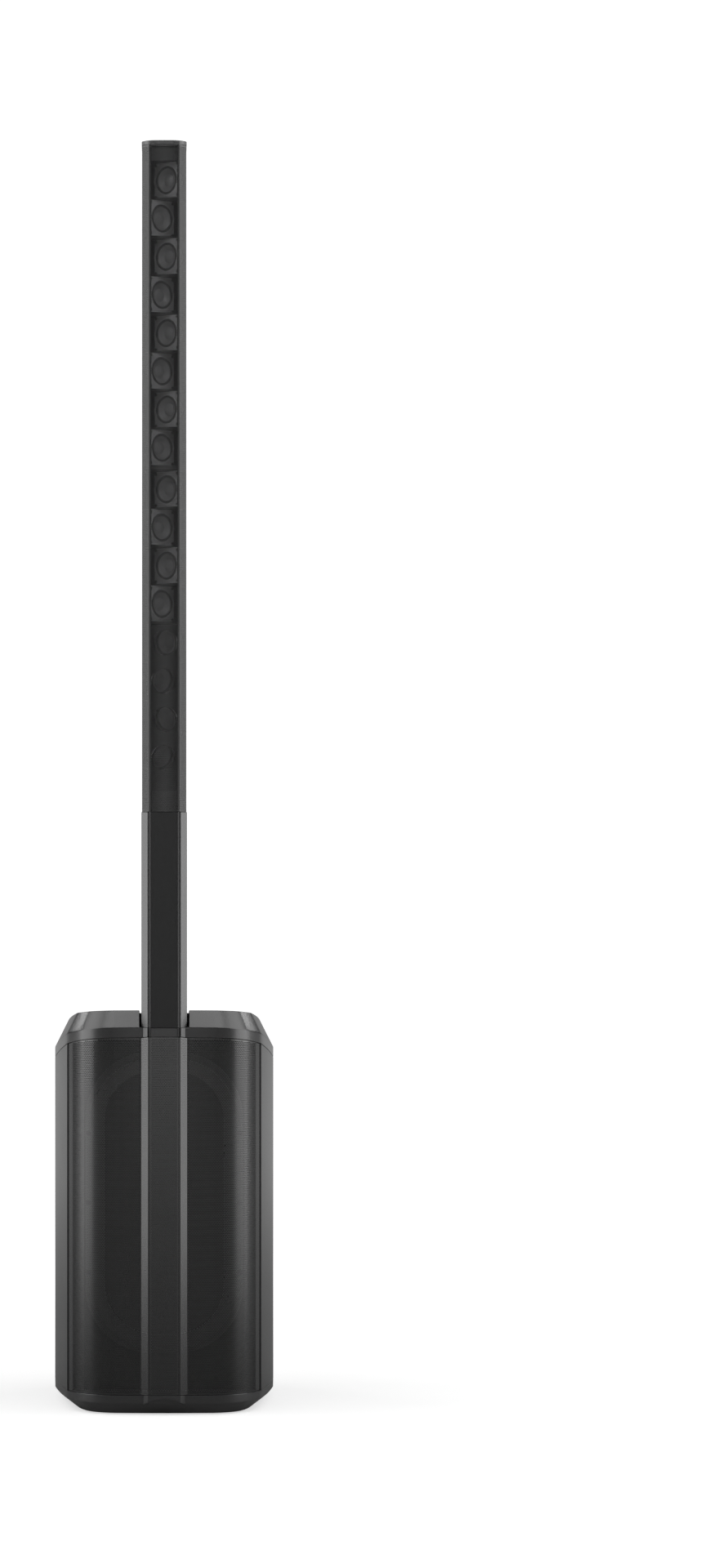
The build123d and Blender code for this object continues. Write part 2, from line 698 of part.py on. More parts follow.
def make_knob(number, z):
    """Rotary control: a cap with a moulded spindle through the panel."""
    with BuildPart() as knob:
        with BuildSketch(facing_back(KNOB_X, PANEL_FACE + 0.6, z)):
            Circle(KNOB_R)
        extrude(amount=13)
        chamfer(knob.faces().sort_by(Axis.Y)[-1].edges(), 1.2)
        with BuildSketch(facing_back(KNOB_X, PANEL_FACE - 12, z)):
            Circle(3)
        extrude(amount=14)
        with Locations((KNOB_X, PANEL_FACE + 14, z + KNOB_R - 4.5)):
            Box(1.4, 2, 6, mode=Mode.SUBTRACT)
    save(knob, "volume_knob_" + str(number))


def make_button(x, z, radius, label):
    """Push button: a round cap through the panel, held in by its collar."""
    with BuildPart() as button:
        with BuildSketch(facing_back(x, PANEL_FACE - PANEL_THICK - 2.2, z)):
            Circle(radius + 1.5)
        extrude(amount=2)
        with BuildSketch(facing_back(x, PANEL_FACE - PANEL_THICK - 2.2, z)):
            Circle(radius)
        extrude(amount=PANEL_THICK + 4.2)
        chamfer(button.faces().sort_by(Axis.Y)[-1].edges(), 0.5)
    save(button, label)


def make_electronics():
    board_y = 172
    with BuildPart() as board:
        with Locations((0, board_y, 262)):
            Box(190, 1.6, 300)
        for x, z, wide, tall in ((-60, 350, 30, 30), (20, 330, 18, 18), (60, 340, 24, 12),
                                 (-40, 250, 22, 22), (70, 230, 16, 30)):
            with Locations((x, board_y - 4, z)):
                Box(wide, 7, tall)
    save(board, "amplifier_board")
    with BuildPart() as supply:
        with Locations((-48, board_y - 6.8, 140)):
            Box(84, 1.6, 110)
        with Locations((-50, board_y - 26, 150)):
            Box(44, 38, 38)
        for x in (-78, -64):
            with Locations(Location((x, board_y - 22, 108), (90, 0, 0))):
                Cylinder(6.5, 30)
    save(supply, "power_supply")
    with BuildPart() as sink:
        with Locations((50, board_y - 11, 150)):
            Box(80, 5, 110)
        for i in range(9):
            with Locations((14 + 9 * i, board_y - 27, 150)):
                Box(2.4, 30, 110)
    save(sink, "heat_sink")


# ======================================================================= spacer column
def make_tenon(z_top, deep, z_flange):
    """Square foot of a column section, hanging from the flange that it is built on."""
    mid_y = (TENON_FRONT + TENON_REAR) / 2
    span = TENON_REAR - TENON_FRONT
    with BuildPart() as plug:
        with Locations((0, mid_y, z_top - deep / 2)):
            Box(2 * TENON_HALF, span, deep)
        chamfer(plug.faces().sort_by(Axis.Z)[0].edges(), 2)
        with Locations((0, mid_y, z_top + z_flange / 2)):
            Box(2 * TENON_HALF + 6, span + 6, z_flange)
    return plug


def make_column():
    """Hollow section between the cabinet and the array, with a socket in its head."""
    mid_y = (TENON_FRONT + TENON_REAR) / 2
    span = TENON_REAR - TENON_FRONT
    tall = JOINT_Z - SEAT_Z
    outer = column_section(SEAT_Z, COLUMN_HALF, COLUMN_FACE, COLUMN_CHEEK)
    with BuildPart() as body:
        extrude(outer, amount=tall)
        with Locations((0, mid_y, SEAT_Z + tall / 2)):
            Box(2 * TENON_HALF + 6.4, span + 6.4, tall + 2, mode=Mode.SUBTRACT)
        cut_front_grooves(SEAT_Z - 1, tall + 2)
        with Locations((0, COLUMN_REAR, SEAT_Z + tall / 2)):
            Box(20, 3, tall - 40, mode=Mode.SUBTRACT)
    save(body, "column_body")
    with BuildPart() as strip:
        with Locations((0, FRONT + STRIP_RECESS - 1.25, SEAT_Z + tall / 2)):
            Box(2 * FIN_IN - 0.3, 2.5, tall - 0.4)
    save(strip, "column_front_strip")
    plug = make_tenon(SEAT_Z, BASE_TENON, 40)
    save(plug, "column_plug")
    deep = ARRAY_TENON + 4
    with BuildPart() as socket:
        with Locations((0, mid_y, JOINT_Z - deep / 2)):
            Box(2 * TENON_HALF + 6, span + 6, deep)
        with Locations((0, mid_y, JOINT_Z - (ARRAY_TENON + 1) / 2)):
            Box(2 * (TENON_HALF + FIT), span + 2 * FIT, ARRAY_TENON + 1, mode=Mode.SUBTRACT)
    save(socket, "column_head_socket")


# ======================================================================= line array
def driver_place(index):
    """Where a driver's face is and which way it looks; they turn left and right by turns."""
    if index < 8:
        z = UPPER_FIRST_Z - DRIVER_PITCH * index
    else:
        z = LOWER_FIRST_Z - DRIVER_PITCH * (index - 8)
    side = 1 if index % 2 == 0 else -1
    tilt = DRIVER_TILTS[index - 12] if index >= 12 else 0
    flat = cos(radians(tilt))
    look = (-side * sin(radians(DRIVER_YAW)) * flat,
            -cos(radians(DRIVER_YAW)) * flat,
            -sin(radians(tilt)))
    across = (cos(radians(DRIVER_YAW)), -side * sin(radians(DRIVER_YAW)), 0)
    back = 0.35 * tilt
    return Plane(origin=(side * DRIVER_OFFSET, DRIVER_Y + back, z), x_dir=across, z_dir=look)


def driver_profile(points):
    """A closed outline in radius and height, for a piece turned about the driver's axis."""
    with BuildSketch(Plane.XZ) as outline:
        with BuildLine():
            Polyline(*points, close=True)
        make_face()
    return outline.sketch


def one_frame():
    """Square steel flange with a raised ring, a tapering bowl and a back ring."""
    bowl = driver_profile([(22.5, -2.4), (23.7, -2.4), (15.4, -11), (15.4, -12.4),
                           (10.6, -12.4), (10.6, -11.2), (14.4, -11.2)])
    with BuildPart() as frame:
        with BuildSketch():
            RectangleRounded(DRIVER_W, DRIVER_H, 7)
            Circle(22.5, mode=Mode.SUBTRACT)
        extrude(amount=-2.4)
        with BuildSketch():
            Circle(25.8)
            Circle(22.8, mode=Mode.SUBTRACT)
        extrude(amount=1.2)
        revolve(bowl)
    return frame.part


def one_magnet():
    """Neodymium motor: cup, pole and the gap that the coil works in."""
    with BuildPart() as motor:
        with BuildSketch(Plane.XY.offset(-12.5)):
            Circle(14.5)
            Circle(10.6, mode=Mode.SUBTRACT)
        extrude(amount=-7)
        with BuildSketch(Plane.XY.offset(-12.5)):
            Circle(8.2)
        extrude(amount=-7)
        with BuildSketch(Plane.XY.offset(-19.5)):
            Circle(14.5)
        extrude(amount=-3)
    return motor.part


def one_surround():
    """Half-roll edge between the cone and the frame."""
    ring = driver_profile([(CONE_R + 0.2, -0.6), (22.4, -0.6), (22.4, 0.2), (21.6, 1.4),
                           (19, 1.4), (CONE_R + 0.2, 0.2)])
    with BuildPart() as roll:
        revolve(ring)
    return roll.part


def one_cone():
    """Straight-sided cone, domed cap and the coil former behind them."""
    cone = driver_profile([(CONE_R, -0.6), (CONE_R, 0.2), (10, -5.4), (8, -3.9), (5, -2.7),
                           (0, -2.2), (0, -3), (5, -3.5), (8, -4.7), (8.9, -5.4), (8.9, -15),
                           (9.7, -15), (9.7, -6.4)])
    with BuildPart() as piece:
        revolve(cone)
    return piece.part


def place_all(shape, indexes, label):
    """One node that holds the same piece at several drivers, as separate solids."""
    with BuildPart() as group:
        for index in indexes:
            add(driver_place(index).location * shape)
    save(group, label)


def make_drivers():
    everywhere = range(DRIVER_COUNT)
    place_all(one_frame(), everywhere, "driver_frames")
    place_all(one_magnet(), everywhere, "driver_motors")
    place_all(one_surround(), everywhere, "driver_surrounds")
    cone = one_cone()
    place_all(cone, range(0, 12, 2), "left_cones")
    place_all(cone, range(1, 12, 2), "right_cones")
    for index in range(12, DRIVER_COUNT):
        place_all(cone, [index], "lower_cone_" + str(index + 1))
    with BuildPart() as heads:
        with GridLocations(2 * SCREW_X, 2 * SCREW_Y, 2, 2):
            Cylinder(1.9, 1, align=(Align.CENTER, Align.CENTER, Align.MIN))
    place_all(heads.part, everywhere, "driver_screws")


def make_array_housing():
    """Back and sides of the array, open at the front under its grille."""
    tall = CAP_Z - JOINT_Z
    outer = column_section(JOINT_Z, ARRAY_HALF, ARRAY_FACE, ARRAY_CHEEK)
    room = column_section(JOINT_Z + FLOOR_T, ARRAY_HALF - ARRAY_WALL, ARRAY_FACE, ARRAY_CHEEK,
                          rear=COLUMN_REAR - ARRAY_WALL, corner=COLUMN_CORNER - ARRAY_WALL)
    mid_y = (TENON_FRONT + TENON_REAR) / 2
    side_front = FRONT + ARRAY_CHEEK + GRILLE_LAP
    with BuildPart() as housing:
        extrude(outer, amount=tall)
        extrude(room, amount=tall, mode=Mode.SUBTRACT)
        with Locations((0, side_front - 50, (JOINT_Z + CAP_Z) / 2)):
            Box(4 * ARRAY_HALF, 100, tall + 10, mode=Mode.SUBTRACT)
        with Locations((0, COLUMN_REAR, (JOINT_Z + CAP_Z) / 2)):
            Box(20, 2.4, tall - 60, mode=Mode.SUBTRACT)
        with Locations((0, mid_y, JOINT_Z)):
            Box(2 * TENON_HALF + 6.4, TENON_REAR - TENON_FRONT + 6.4, 40,
                mode=Mode.SUBTRACT)
    save(housing, "array_housing")


def make_array_grille():
    """Bent perforated front with a shadow groove inside each cheek."""
    sheet = 1.2
    side_y = FRONT + ARRAY_CHEEK + GRILLE_LAP - 0.3
    half = ARRAY_HALF
    outer = [(half, side_y), (half, FRONT + ARRAY_CHEEK), (ARRAY_FACE, FRONT + 1),
             (ARRAY_FACE - 0.7, FRONT + 3.4), (ARRAY_FACE - 2, FRONT + 3.4),
             (ARRAY_FACE - 2.4, FRONT + 0.8)]
    inner = [(half - sheet, side_y), (half - sheet, FRONT + ARRAY_CHEEK + 0.3),
             (ARRAY_FACE + 0.4, FRONT + 3.4), (ARRAY_FACE - 0.2, FRONT + 3.4 + sheet),
             (ARRAY_FACE - 3, FRONT + 3.4 + sheet), (ARRAY_FACE - 3.5, FRONT + 0.8 + sheet)]
    with BuildPart() as grille:
        with BuildSketch(Plane.XY.offset(JOINT_Z + 1)):
            with BuildLine():
                Polyline(*[(-x, y) for x, y in outer])
                ThreePointArc((-outer[-1][0], outer[-1][1]), (0, FRONT), outer[-1])
                Polyline(*outer[::-1])
                Polyline(outer[0], *inner)
                ThreePointArc(inner[-1], (0, FRONT + sheet), (-inner[-1][0], inner[-1][1]))
                Polyline(*[(-x, y) for x, y in inner[::-1]], (-outer[0][0], outer[0][1]))
            make_face()
        extrude(amount=CAP_Z - JOINT_Z - 1.2)
    save(grille, "array_grille")


def make_array_cap():
    """Lid with rounded front corners, a little proud of the array over a shadow gap."""
    neck = column_section(CAP_Z, ARRAY_HALF - 1, ARRAY_FACE - 1, ARRAY_CHEEK, grow=-0.6)
    lid = column_section(CAP_Z + CAP_SHADOW, ARRAY_HALF + CAP_PROUD, ARRAY_FACE,
                         ARRAY_CHEEK, rear=COLUMN_REAR + CAP_PROUD)
    with BuildPart() as cap:
        extrude(lid, amount=HEIGHT - CAP_Z - CAP_SHADOW)
        upright = cap.edges().filter_by(Axis.Z).sort_by(Axis.Y)
        fillet(upright[0:2], 24)
        chamfer(cap.faces().sort_by(Axis.Z)[-1].edges(), 0.8)
        extrude(neck, amount=CAP_SHADOW)
        with Locations((0, (FRONT + COLUMN_REAR) / 2 + 4, CAP_Z - 2)):
            Box(2 * (ARRAY_HALF - ARRAY_WALL) - 2, 60, 4)
    save(cap, "array_top_cap")


def make_array_plug():
    plug = make_tenon(JOINT_Z, ARRAY_TENON, 18)
    save(plug, "array_plug")


def make_carrier():
    """Moulded ladder that holds the drivers, closed by a mask round the lower four."""
    rail_x = ARRAY_HALF - ARRAY_WALL - 1.2
    rail_y = -190
    rail_deep = 34
    low = JOINT_Z + 20
    tall = CAP_Z - 5 - low
    steps = [driver_place(index).origin.Z + DRIVER_PITCH / 2 for index in range(DRIVER_COUNT)]
    steps.append(steps[-1] - DRIVER_PITCH)
    with BuildPart() as carrier:
        for side in (1, -1):
            with Locations((side * rail_x, rail_y, low + tall / 2)):
                Box(1.8, rail_deep, tall)
        for z in steps:
            with Locations((0, rail_y, z)):
                Box(2 * rail_x, rail_deep, 2.4)
        for z in steps[12:]:
            with Locations((0, (MASK_Y + rail_y) / 2, z)):
                Box(48, rail_y - MASK_Y, 2.4)
        with Locations((0, MASK_Y, (MASK_LOW + MASK_HIGH) / 2)):
            Box(52, 2, MASK_HIGH - MASK_LOW)
        for index in range(12, DRIVER_COUNT):
            place = driver_place(index)
            with Locations(Location((0.3 * place.origin.X, MASK_Y, place.origin.Z - 2),
                                    (90, 0, 0))):
                Cylinder(20, 10, mode=Mode.SUBTRACT)
        with Locations((0, rail_y, (low + MASK_LOW) / 2)):
            Box(2 * rail_x, rail_deep, 3)
    save(carrier, "driver_carrier")


def make_brackets():
    """Cross brackets at the head and in the middle, two screws each, and a plain foot plate."""
    with BuildPart() as brackets:
        for z, tall in ((UPPER_FIRST_Z + 38, 20), ((UPPER_FIRST_Z - 7 * DRIVER_PITCH
                                                    + LOWER_FIRST_Z) / 2, 5)):
            with Locations((0, BRACKET_Y, z)):
                Box(2 * BRACKET_HALF, 3, tall)
            for side in (1, -1):
                with Locations(Location((side * (BRACKET_HALF - 3), BRACKET_Y - 2, z),
                                        (90, 0, 0))):
                    Cylinder(1.6, 1.6)
        plate_low = JOINT_Z + 1.5
        plate_tall = MASK_LOW - 0.1 - plate_low
        with Locations((0, BRACKET_Y, plate_low + plate_tall / 2)):
            Box(2 * FOOT_PLATE_HALF, 2, plate_tall)
    save(brackets, "array_brackets")


make_tray()
make_feet()
make_shell()
make_baffle()
make_cover()
make_grip()
make_socket()
make_grille()
make_basket()
make_magnet()
make_woofer_cone()
make_woofer_rings()
make_woofer_screws()
make_panel()
make_combo_jack(CHANNEL_Z[0], "combo_jack_1")
make_combo_jack(CHANNEL_Z[1], "combo_jack_2")
make_round_jack(LINE_X, 6.4, 6, 8, 30, "line_jack")
make_round_jack(AUX_X, 3.6, 4, 5.5, 16, "aux_jack")
make_line_output()
make_mains_inlet()
make_led_rings()
for channel, channel_z in enumerate(CHANNEL_Z, start=1):
    make_knob(channel, channel_z)
    make_button(MODE_X, channel_z, BUTTON_R, "mode_button_" + str(channel))
    make_button(MUTE_X, channel_z, BUTTON_R, "mute_button_" + str(channel))
for name, switch_x in SWITCH_X.items():
    make_button(switch_x, SWITCH_Z, BUTTON_R, name + "_button")
make_button(STANDBY_X, POWER_Z, STANDBY_R, "standby_button")
make_electronics()
make_column()
make_drivers()
make_array_housing()
make_array_grille()
make_array_cap()
make_array_plug()
make_carrier()
make_brackets()
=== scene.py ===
"""Portable column loudspeaker: studio picture, detailed grilles and finishes round the CAD frame."""
import json
import math
import bpy
import bmesh
import numpy as np
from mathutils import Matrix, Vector


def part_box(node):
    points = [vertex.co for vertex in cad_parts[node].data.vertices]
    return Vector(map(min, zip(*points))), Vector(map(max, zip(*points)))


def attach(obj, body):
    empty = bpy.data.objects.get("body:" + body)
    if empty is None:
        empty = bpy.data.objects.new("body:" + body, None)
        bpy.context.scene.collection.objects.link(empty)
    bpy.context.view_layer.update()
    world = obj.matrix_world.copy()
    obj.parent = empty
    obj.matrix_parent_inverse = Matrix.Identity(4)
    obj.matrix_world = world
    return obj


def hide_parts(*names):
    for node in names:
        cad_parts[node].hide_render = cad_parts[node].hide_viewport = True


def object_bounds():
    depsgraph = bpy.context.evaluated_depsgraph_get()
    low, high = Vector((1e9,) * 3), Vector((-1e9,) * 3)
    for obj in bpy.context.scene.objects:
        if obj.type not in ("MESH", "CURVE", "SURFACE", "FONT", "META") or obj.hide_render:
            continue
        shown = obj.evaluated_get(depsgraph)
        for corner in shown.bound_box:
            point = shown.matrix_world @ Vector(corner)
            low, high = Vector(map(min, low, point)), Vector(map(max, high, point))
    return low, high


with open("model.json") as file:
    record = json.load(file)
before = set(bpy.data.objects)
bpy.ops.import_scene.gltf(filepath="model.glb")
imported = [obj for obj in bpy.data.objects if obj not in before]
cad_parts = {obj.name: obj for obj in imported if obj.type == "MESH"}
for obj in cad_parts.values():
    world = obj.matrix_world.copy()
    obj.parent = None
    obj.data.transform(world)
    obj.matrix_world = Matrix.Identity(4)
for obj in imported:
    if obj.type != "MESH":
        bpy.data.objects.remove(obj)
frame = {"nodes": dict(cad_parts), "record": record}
cad_low, cad_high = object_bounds()

FRONT = cad_low[1]

# Studio: strengths of what surrounds the object, how white the floor is to the eye, and the painted
# shade on the floor near the object.
WALL_LIGHT = 0.62
CEILING_LIGHT = 0.25
ROOM_LIGHT = 0.02
# Glow of the floor to the eye next to the object, turned down from 1 far away: painted shade round
# the object's foot.
FLOOR_NEAR_GLOW_PAINTED_SHADE = 0.6
FLOOR_HALF = 30
FLOOR_SEEN_GRAY = 0.55
# Grey of the floor to light rays, darker than to the eye: painted shade in the floor's bounce light.
FLOOR_SHADED_BOUNCE_GRAY = 0.34

# Softened edges: creases sharper than this many degrees stay edges.
CREASE_DEGREES = 17
FLAT_DEGREES = 0.4


# ======================================================================= camera, light, floor
def make_camera():
    data = bpy.data.cameras.new("camera")
    data.lens = 106.4
    data.sensor_width = 36
    data.shift_x = 0.1255
    data.shift_y = 0.0422
    camera = bpy.data.objects.new("camera", data)
    camera.location = (0, -7.53, 0.891)
    camera.rotation_euler = (math.radians(90), 0, 0)
    bpy.context.collection.objects.link(camera)
    bpy.context.scene.camera = camera


def add_light(name, place, aim, width, height, power):
    """A soft box: a rectangle at place that faces aim."""
    data = bpy.data.lights.new(name, "AREA")
    data.shape = "RECTANGLE"
    data.size = width
    data.size_y = height
    data.energy = power
    light = bpy.data.objects.new(name, data)
    light.location = place
    turn = Vector(aim) - Vector(place)
    light.rotation_euler = turn.to_track_quat("-Z", "Y").to_euler()
    light.visible_camera = False
    bpy.context.collection.objects.link(light)


def ramp(tree, value, low, high, top=1.0):
    """A smooth step of a number from 0 at low to top at high."""
    step = tree.nodes.new("ShaderNodeMapRange")
    step.interpolation_type = "SMOOTHSTEP"
    step.inputs["From Min"].default_value = low
    step.inputs["From Max"].default_value = high
    step.inputs["To Max"].default_value = top
    tree.links.new(value, step.inputs["Value"])
    return step.outputs["Result"]


def add_up(tree, *values):
    """The sum of a socket and more sockets or numbers."""
    total = values[0]
    for value in values[1:]:
        more = tree.nodes.new("ShaderNodeMath")
        tree.links.new(total, more.inputs[0])
        if isinstance(value, float):
            more.inputs[1].default_value = value
        else:
            tree.links.new(value, more.inputs[1])
        total = more.outputs[0]
    return total


def by_ray(tree, light, seen, output):
    """Light rays meet one shader and the camera another."""
    ray = tree.nodes.new("ShaderNodeLightPath")
    mix = tree.nodes.new("ShaderNodeMixShader")
    tree.links.new(ray.outputs["Is Camera Ray"], mix.inputs[0])
    tree.links.new(light.outputs[0], mix.inputs[1])
    tree.links.new(seen.outputs[0], mix.inputs[2])
    tree.links.new(mix.outputs[0], tree.nodes[output].inputs["Surface"])


def make_world():
    """White to the eye. What it gives as light is a dark front and a bright back wall."""
    world = bpy.data.worlds.new("studio")
    bpy.context.scene.world = world
    world.use_nodes = True
    tree = world.node_tree
    seen = tree.nodes["Background"]
    seen.inputs["Color"].default_value = (1, 1, 1, 1)
    seen.inputs["Strength"].default_value = 1.1
    way = tree.nodes.new("ShaderNodeTexCoord")
    parts = tree.nodes.new("ShaderNodeSeparateXYZ")
    tree.links.new(way.outputs["Generated"], parts.inputs[0])
    wall = ramp(tree, parts.outputs["Y"], 0.82, 0.99, WALL_LIGHT)
    ceiling = ramp(tree, parts.outputs["Z"], 0.5, 1.0, CEILING_LIGHT)
    light = tree.nodes.new("ShaderNodeBackground")
    tree.links.new(add_up(tree, wall, ceiling, ROOM_LIGHT), light.inputs["Strength"])
    by_ray(tree, light, seen, "World Output")


def make_floor():
    """Pale floor that runs into the white wall, with a soft shadow under the object: the real shadow
    in its grey, and painted shade where its glow is turned down near the object. Light rays meet a
    darker copy that glows only far away, which is painted shade near the object.
    """
    half = FLOOR_HALF
    mesh = bpy.data.meshes.new("floor")
    mesh.from_pydata([(-half, -half, 0), (half, -half, 0), (half, half, 0), (-half, half, 0)],
                     [], [(0, 1, 2, 3)])
    floor = bpy.data.objects.new("floor", mesh)
    bpy.context.collection.objects.link(floor)
    paint = bpy.data.materials.new("floor_paint")
    paint.use_nodes = True
    tree = paint.node_tree
    eye = tree.nodes["Principled BSDF"]
    light = tree.nodes.new("ShaderNodeBsdfPrincipled")
    # The copy that light rays meet is greyer than the one the camera sees: painted shade in what the
    # object reflects and gets back from the floor.
    for shader, level in ((eye, FLOOR_SEEN_GRAY), (light, FLOOR_SHADED_BOUNCE_GRAY)):
        shader.inputs["Base Color"].default_value = (level, level, level, 1)
        shader.inputs["Roughness"].default_value = 0.95
        shader.inputs["Specular IOR Level"].default_value = 0.1
        shader.inputs["Emission Color"].default_value = (1, 1, 1, 1)
    where = tree.nodes.new("ShaderNodeTexCoord")
    away = tree.nodes.new("ShaderNodeVectorMath")
    away.operation = "LENGTH"
    tree.links.new(where.outputs["Object"], away.inputs[0])
    far = away.outputs["Value"]
    # To light rays the floor glows only far from the object: painted shade near it in what the
    # object reflects.
    tree.links.new(ramp(tree, far, 0.5, 6.0, WALL_LIGHT), light.inputs["Emission Strength"])
    # To the eye the floor's glow is turned down near the object: painted shade round its foot, on
    # top of the real shadow in its grey.
    white = add_up(tree, ramp(tree, far, 0.3, 2.5, 1 - FLOOR_NEAR_GLOW_PAINTED_SHADE), FLOOR_NEAR_GLOW_PAINTED_SHADE)
    tree.links.new(white, eye.inputs["Emission Strength"])
    by_ray(tree, light, eye, "Material Output")
    mesh.materials.append(paint)


def make_studio():
    """A tall soft box and a rear shoulder light on each side, one box above and one in front."""
    bpy.context.scene.view_settings.view_transform = "Standard"
    make_world()
    make_floor()
    for name, side in (("left", -1), ("right", 1)):
        add_light("box_" + name, (side * 2.3, -0.38, 1.7), (0, -0.38, 1.5), 1.9, 3.7, 50)
        add_light("shoulder_" + name, (side * 2.0, 1.75, 2.0), (0, 0.2, 0.8), 0.9, 0.7, 13)
    add_light("box_top", (0, -1.7, 3.0), (0, 0, 0.7), 4.2, 0.9, 36)
    add_light("box_front", (0, -4.6, 1.5), (0, 0, 1.0), 0.5, 2.6, 5)


make_camera()
make_studio()


# ======================================================================= finishes
def node(tree, kind, **values):
    """A new shader node with some of its settings."""
    made = tree.nodes.new(kind)
    for key, value in values.items():
        setattr(made, key, value)
    return made


def textured(name, color, roughness, grain=0.0006, depth=0.15, variation=0.12, metallic=0.0,
             spread=0.08, specular=0.5):
    """A moulded or coated surface: fine grain in the bump, slow drift in colour and gloss."""
    paint = bpy.data.materials.new(name)
    paint.use_nodes = True
    tree = paint.node_tree
    shader = tree.nodes["Principled BSDF"]
    link = tree.links.new
    where = node(tree, "ShaderNodeTexCoord")
    fine = node(tree, "ShaderNodeTexNoise")
    fine.inputs["Scale"].default_value = 1 / grain
    fine.inputs["Detail"].default_value = 3
    link(where.outputs["Object"], fine.inputs["Vector"])
    slow = node(tree, "ShaderNodeTexNoise")
    slow.inputs["Scale"].default_value = 9
    slow.inputs["Detail"].default_value = 5
    link(where.outputs["Object"], slow.inputs["Vector"])
    tone = node(tree, "ShaderNodeMapRange")
    tone.inputs["To Min"].default_value = 1 - variation
    tone.inputs["To Max"].default_value = 1 + variation
    link(slow.outputs["Fac"], tone.inputs["Value"])
    scale = node(tree, "ShaderNodeVectorMath", operation="SCALE")
    scale.inputs[0].default_value = color
    link(tone.outputs["Result"], scale.inputs["Scale"])
    link(scale.outputs["Vector"], shader.inputs["Base Color"])
    gloss = node(tree, "ShaderNodeMapRange")
    gloss.inputs["To Min"].default_value = max(0.05, roughness - spread)
    gloss.inputs["To Max"].default_value = min(1, roughness + spread)
    link(slow.outputs["Fac"], gloss.inputs["Value"])
    link(gloss.outputs["Result"], shader.inputs["Roughness"])
    bump = node(tree, "ShaderNodeBump")
    bump.inputs["Strength"].default_value = depth
    bump.inputs["Distance"].default_value = 0.0003
    link(fine.outputs["Fac"], bump.inputs["Height"])
    link(bump.outputs["Normal"], shader.inputs["Normal"])
    shader.inputs["Metallic"].default_value = metallic
    shader.inputs["Specular IOR Level"].default_value = specular
    return paint


def gray(level):
    """A nearly neutral colour, a touch cool."""
    return (level, level, level * 1.02)


finish = {
    "shell_plastic": textured("shell_plastic", gray(0.011), 0.30, spread=0.02),
    "cover_plastic": textured("cover_plastic", gray(0.009), 0.28, specular=0.9, spread=0.02),
    "tray_plastic": textured("tray_plastic", gray(0.012), 0.34, specular=1.0, spread=0.02),
    "grille_steel": textured("grille_steel", gray(0.005), 0.24, specular=1.0, spread=0.015,
                             depth=0.03),
    "column_metal": textured("column_metal", gray(0.035), 0.27, specular=1.0, spread=0.02,
                             depth=0.05),
    "strip_plastic": textured("strip_plastic", gray(0.012), 0.4),
    "inner_plastic": textured("inner_plastic", gray(0.012), 0.6),
    "foot_rubber": textured("foot_rubber", gray(0.015), 0.8),
    "grip_rubber": textured("grip_rubber", gray(0.02), 0.75),
    "surround_rubber": textured("surround_rubber", gray(0.02), 0.3, specular=0.8, depth=0.05),
    "cone_paper": textured("cone_paper", gray(0.03), 0.8, depth=0.5),
    "cloth": textured("cloth", (0.3, 0.2, 0.06), 0.9),
    "frame_steel": textured("frame_steel", gray(0.04), 0.4),
    "driver_plastic": textured("driver_plastic", gray(0.42), 0.5),
    "cone_metal": textured("cone_metal", gray(0.26), 0.36, specular=0.8),
    "motor_steel": textured("motor_steel", gray(0.3), 0.35, metallic=0.9),
    "coil_copper": textured("coil_copper", (0.6, 0.3, 0.15), 0.35, metallic=0.9),
    "heat_aluminium": textured("heat_aluminium", gray(0.5), 0.4, metallic=0.9),
    "board": textured("board", (0.01, 0.08, 0.03), 0.4),
    "supply_parts": textured("supply_parts", (0.12, 0.1, 0.05), 0.6),
    "panel_plastic": textured("panel_plastic", gray(0.02), 0.45),
    "jack_plastic": textured("jack_plastic", gray(0.012), 0.4),
    "jack_nut": textured("jack_nut", gray(0.6), 0.2, metallic=1.0),
    "led_lens": textured("led_lens", (0.7, 0.75, 0.8), 0.25),
    "knob_rubber": textured("knob_rubber", gray(0.02), 0.6),
    "button_plastic": textured("button_plastic", gray(0.05), 0.35),
    "screw_steel": textured("screw_steel", gray(0.02), 0.5),
}

slots = {row["node"]: row["material_slot"] for row in frame["record"]["subparts"]}
for name, obj in frame["nodes"].items():
    obj.data.materials.clear()
    obj.data.materials.append(finish[slots[name]])


# ======================================================================= softened edges
def body_of_node(name):
    """The moving body that a CAD node belongs to."""
    bodies = frame["record"]["behaviour"]["bodies"]
    return next(body for body, nodes in bodies.items() if name in nodes)


def softened(name, radius):
    """A copy of a CAD node with small rounded edges and smooth curved faces, in its place."""
    source = frame["nodes"][name]
    work = bmesh.new()
    work.from_mesh(source.data)
    sharp = math.radians(CREASE_DEGREES)
    bmesh.ops.remove_doubles(work, verts=work.verts, dist=2e-6)
    bmesh.ops.dissolve_limit(work, angle_limit=math.radians(FLAT_DEGREES), verts=work.verts,
                             edges=work.edges, use_dissolve_boundaries=False)
    if radius:
        edges = [e for e in work.edges if e.is_manifold
                 and e.calc_face_angle(0) > sharp
                 and e.calc_length() > 0.4 * radius]
        bmesh.ops.bevel(work, geom=edges, offset=radius, offset_type="OFFSET", segments=2,
                        profile=0.5, affect="EDGES", clamp_overlap=False)
    for face in work.faces:
        face.smooth = True
    for edge in work.edges:
        edge.smooth = edge.is_manifold and edge.calc_face_angle(0) < sharp
    mesh = bpy.data.meshes.new(name + "_soft")
    work.to_mesh(mesh)
    work.free()
    mesh.materials.append(finish[slots[name]])
    piece = bpy.data.objects.new(name + "_soft", mesh)
    bpy.context.collection.objects.link(piece)
    lean = piece.modifiers.new("even_normals", "WEIGHTED_NORMAL")
    lean.keep_sharp = True
    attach(piece, body_of_node(name))
    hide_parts(name)


for name, radius in (("top_cover", 0.0008), ("base_tray", 0.0008), ("enclosure_shell", 0.0008),
                     ("column_body", 0.0005), ("array_housing", 0.0006),
                     ("array_top_cap", 0.0003), ("rear_panel", 0)):
    softened(name, radius)


